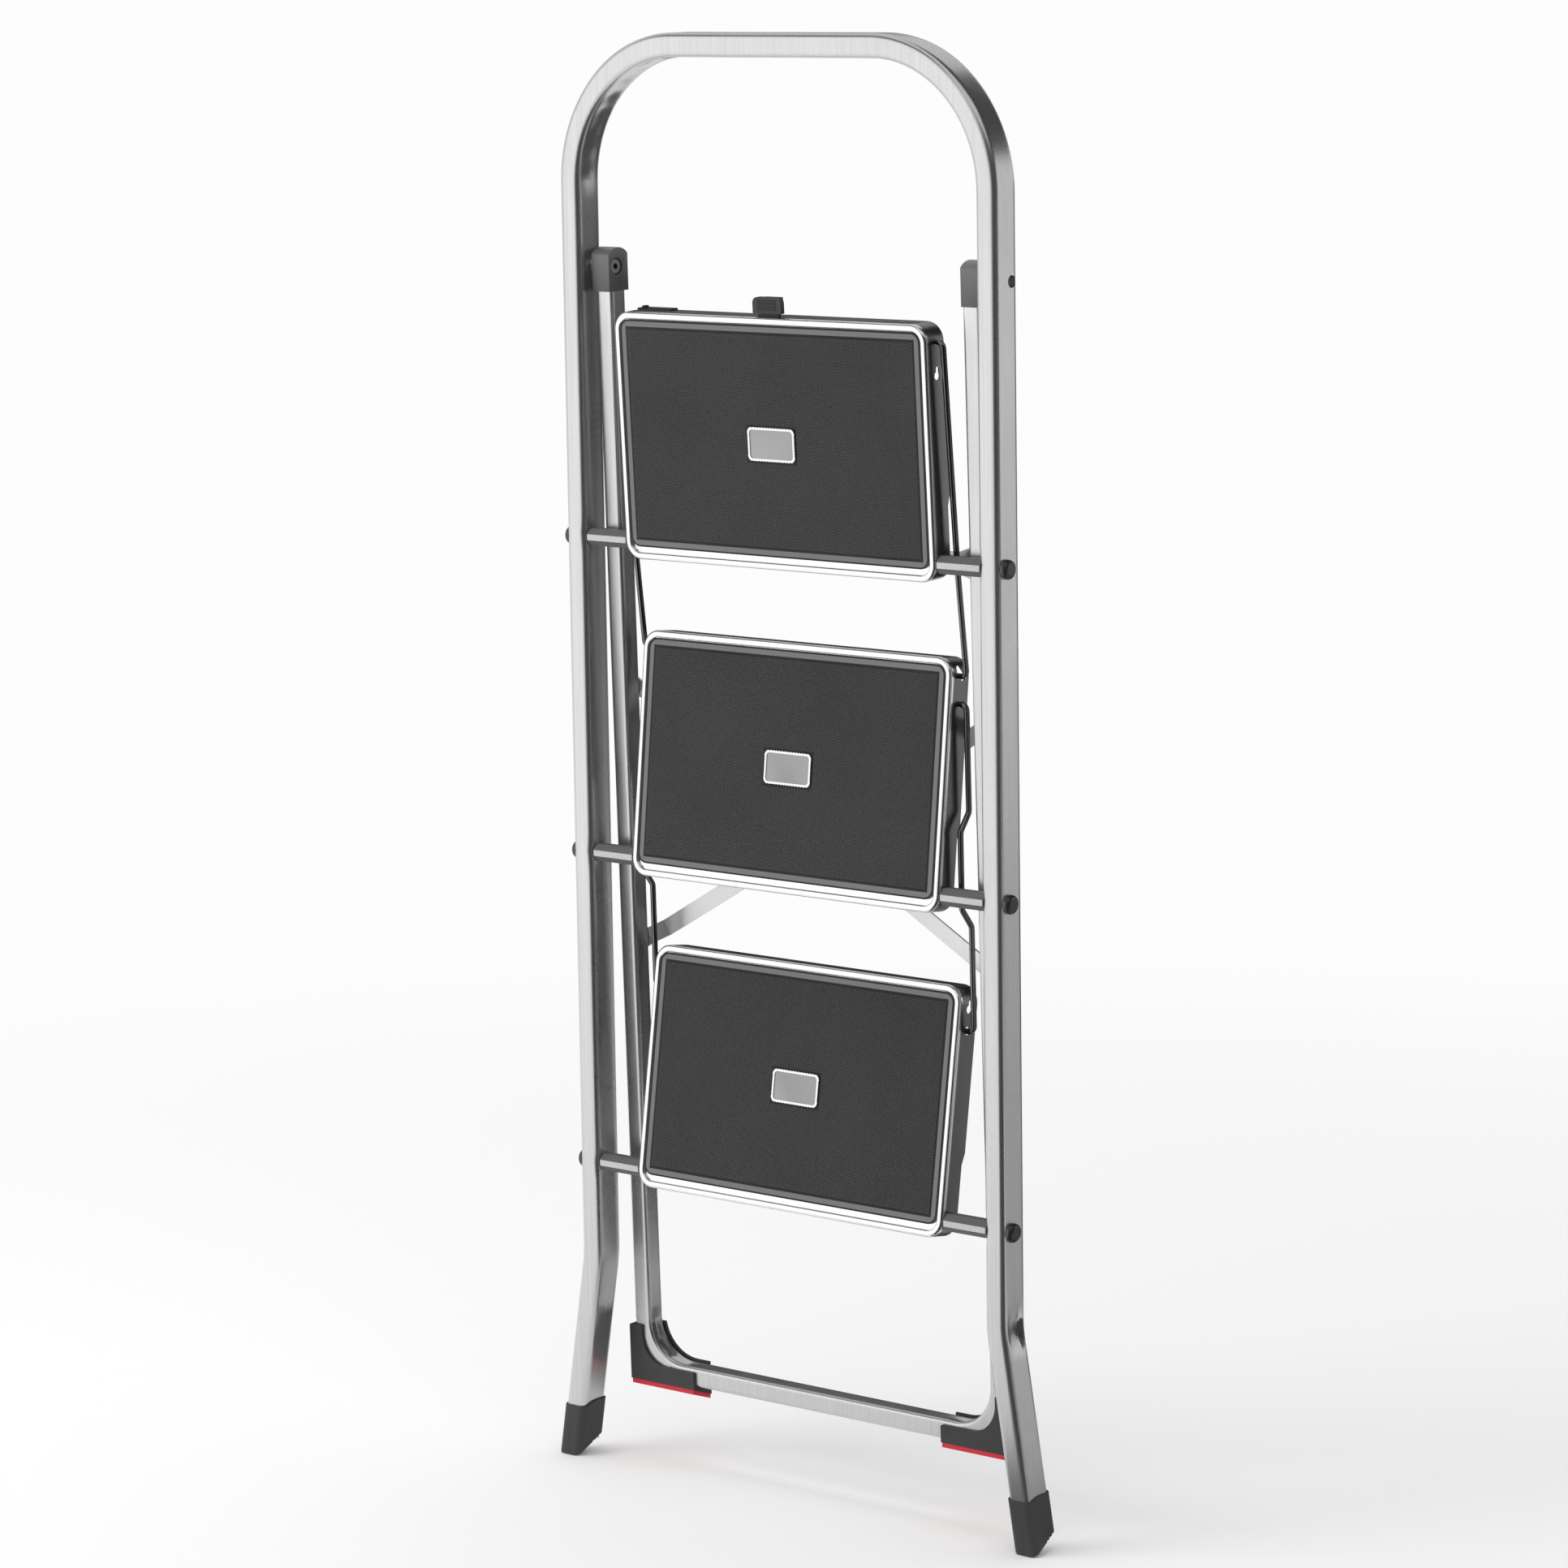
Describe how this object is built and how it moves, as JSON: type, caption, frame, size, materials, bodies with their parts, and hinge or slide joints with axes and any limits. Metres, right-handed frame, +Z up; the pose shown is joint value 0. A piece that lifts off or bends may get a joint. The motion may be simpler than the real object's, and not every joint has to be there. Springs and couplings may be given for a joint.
{
  "type": "folding step stool",
  "caption": "Folding metal step stool, shown folded: an inverted-U tube frame with rubber-topped steps that drop level together as the rear frame swings out.",
  "frame": {"origin": "centre of the bounding box on the floor plane, with the stool folded upright and its front feet on Z = 0", "axes": "+Z up, X across the stool, the treads face -Y and the rear frame is on the +Y side"},
  "size_m": [0.4746, 0.0632, 1.126],
  "materials": {
    "frame_tube": "satin silver paint on steel tube",
    "strap_steel": "pale plated flat steel",
    "charcoal_plastic": "charcoal, fine grain",
    "red_rubber": "red rubber",
    "pin_steel": "plain steel",
    "black_gloss": "black, glossy",
    "black_rubber": "black rubber",
    "spacer_plastic": "black with a grained front flat",
    "pan_metal": "satin silver pressed steel, bright rolled rim",
    "mat_rubber": "grey rubber with raised dots",
    "badge_silver": "plain silver plate",
    "dark_chrome": "dark chrome wire"
  },
  "bodies": {
    "front": {"frame_top": "frame_tube", "frame_bend_left": "frame_tube", "frame_bend_right": "frame_tube", "frame_leg_left": "frame_tube", "frame_leg_right": "frame_tube", "front_foot_left": "charcoal_plastic", "front_foot_right": "charcoal_plastic", "axle_top": "pin_steel", "axle_middle": "pin_steel", "axle_bottom": "pin_steel", "spacer_top_left": "spacer_plastic", "spacer_top_right": "spacer_plastic", "spacer_middle_left": "spacer_plastic", "spacer_middle_right": "spacer_plastic", "spacer_bottom_left": "spacer_plastic", "spacer_bottom_right": "spacer_plastic", "axle_caps": "black_gloss"},
    "rear": {"rear_bar": "frame_tube", "rear_bend_left": "frame_tube", "rear_bend_right": "frame_tube", "rear_leg_left": "frame_tube", "rear_leg_right": "frame_tube", "bracket_left": "charcoal_plastic", "bracket_right": "charcoal_plastic", "pivot_washers": "pin_steel", "pivot_rivets": "pin_steel", "rear_foot_left": "charcoal_plastic", "rear_foot_right": "charcoal_plastic", "rear_sole_left": "red_rubber", "rear_sole_right": "red_rubber", "rear_crossbar": "frame_tube", "crossbar_rivets": "pin_steel", "brace_front": "strap_steel", "brace_back": "strap_steel", "brace_rivets": "pin_steel"},
    "top_step": {"step_top": "pan_metal", "mat_top": "mat_rubber", "badge_top": "badge_silver", "latch_guide": "charcoal_plastic", "edge_strip": "black_rubber"},
    "middle_step": {"step_middle": "pan_metal", "mat_middle": "mat_rubber", "badge_middle": "badge_silver"},
    "bottom_step": {"step_bottom": "pan_metal", "mat_bottom": "mat_rubber", "badge_bottom": "badge_silver"},
    "button": {"latch_button": "charcoal_plastic", "latch_spring": "pin_steel"},
    "link_top_left": {"wire_top_left": "dark_chrome"},
    "link_top_right": {"wire_top_right": "dark_chrome"},
    "link_low_left": {"wire_low_left": "dark_chrome"},
    "link_low_right": {"wire_low_right": "dark_chrome"}
  },
  "joints": [
    {"name": "fold", "type": "hinge", "parent": "front", "child": "top_step", "pos_m": [0, -0.0144, 0.739], "axis": [-1, 0, 0], "range_deg": [0, 65.5]},
    {"name": "rear_swing", "type": "hinge", "parent": "front", "child": "rear", "pos_m": [0, -0.0042, 0.9477], "axis": [1, 0, 0], "range_deg": [0, 47]},
    {"name": "middle_fold", "type": "hinge", "parent": "front", "child": "middle_step", "pos_m": [0, -0.0144, 0.491], "axis": [-1, 0, 0], "range_deg": [0, 56.2]},
    {"name": "bottom_fold", "type": "hinge", "parent": "front", "child": "bottom_step", "pos_m": [0, -0.0144, 0.243], "axis": [-1, 0, 0], "range_deg": [0, 53.8]},
    {"name": "link_top_left_turn", "type": "hinge", "parent": "top_step", "child": "link_top_left", "pos_m": [-0.1565, -0.01849, 0.90301], "axis": [1, 0, 0], "range_deg": [0, 59.86]},
    {"name": "link_low_left_turn", "type": "hinge", "parent": "middle_step", "child": "link_low_left", "pos_m": [-0.1565, 0.00577, 0.63264], "axis": [1, 0, 0], "range_deg": [0, 54.94]},
    {"name": "link_top_right_turn", "type": "hinge", "parent": "top_step", "child": "link_top_right", "pos_m": [0.1565, -0.01849, 0.90301], "axis": [1, 0, 0], "range_deg": [0, 59.86]},
    {"name": "link_low_right_turn", "type": "hinge", "parent": "middle_step", "child": "link_low_right", "pos_m": [0.1565, 0.00577, 0.63264], "axis": [1, 0, 0], "range_deg": [0, 54.94]},
    {"name": "button_press", "type": "slide", "parent": "top_step", "child": "button", "axis": [0, 0.0523, -0.9986], "range_m": [0, 0.0025], "stiffness_N_per_m": 300}
  ],
  "couplings": [
    {"joint": "rear_swing", "follows": "fold", "ratio": 0.71756},
    {"joint": "middle_fold", "follows": "fold", "ratio": 0.85801},
    {"joint": "bottom_fold", "follows": "fold", "ratio": 0.82137},
    {"joint": "link_top_left_turn", "follows": "fold", "ratio": 0.91389},
    {"joint": "link_low_left_turn", "follows": "fold", "ratio": 0.83878},
    {"joint": "link_top_right_turn", "follows": "fold", "ratio": 0.91389},
    {"joint": "link_low_right_turn", "follows": "fold", "ratio": 0.83878}
  ]
}
